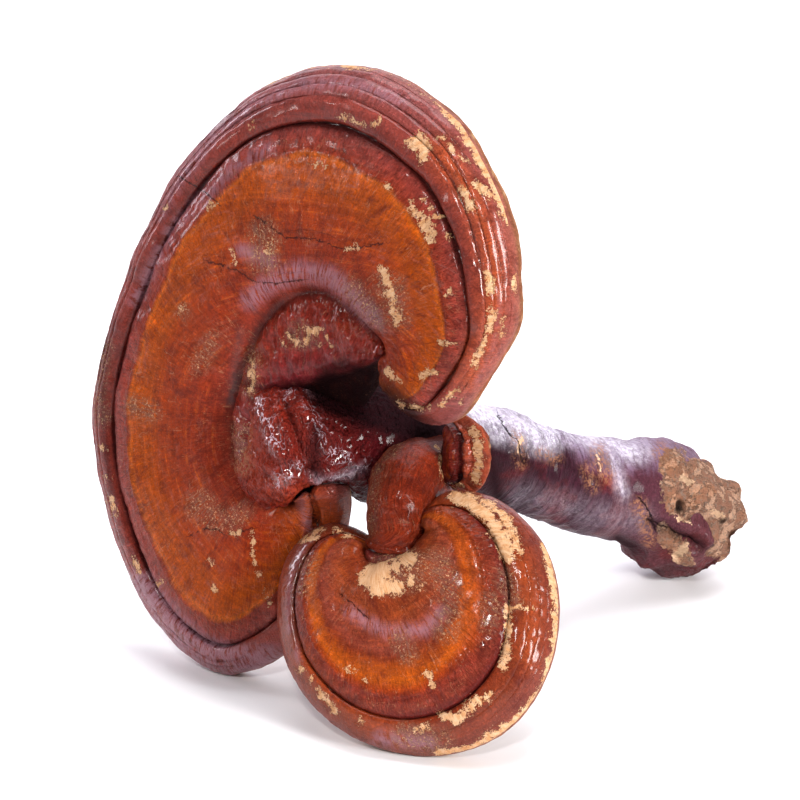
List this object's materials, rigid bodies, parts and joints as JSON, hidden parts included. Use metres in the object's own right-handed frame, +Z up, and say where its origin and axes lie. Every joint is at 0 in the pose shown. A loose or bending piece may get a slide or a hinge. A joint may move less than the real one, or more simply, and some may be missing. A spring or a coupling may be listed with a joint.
{
  "type": "reishi mushroom",
  "caption": "Dried lacquered reishi mushroom lying on a table: a kidney-shaped cap with a ridged rim on a long woody stem, a smaller cap on a side branch and a bud beside it.",
  "frame": {"origin": "on the table, under the middle of the mushroom's box", "axes": "+Z up, +X along the stem towards its cut base, +Y away from the faces of the caps"},
  "size_m": [0.1457, 0.1129, 0.1331],
  "materials": {
    "stem": "dark purple-brown glossy lacquered skin, crumpled across, with a rough tan corky cut base",
    "large_cap": "glossy red-brown lacquered crust with an orange ring, fine radial wrinkles and cream patches where the skin has peeled",
    "branch_stem": "glossy red-brown lacquered skin",
    "small_cap": "glossy red-brown lacquered crust with an orange ring and cream peeled patches",
    "bud_cap": "glossy red-brown lacquered crust with a tan edge"
  },
  "bodies": {
    "root": {"stem": "stem", "large_cap": "large_cap", "branch_stem": "branch_stem", "small_cap": "small_cap", "bud_cap": "bud_cap"}
  },
  "joints": []
}
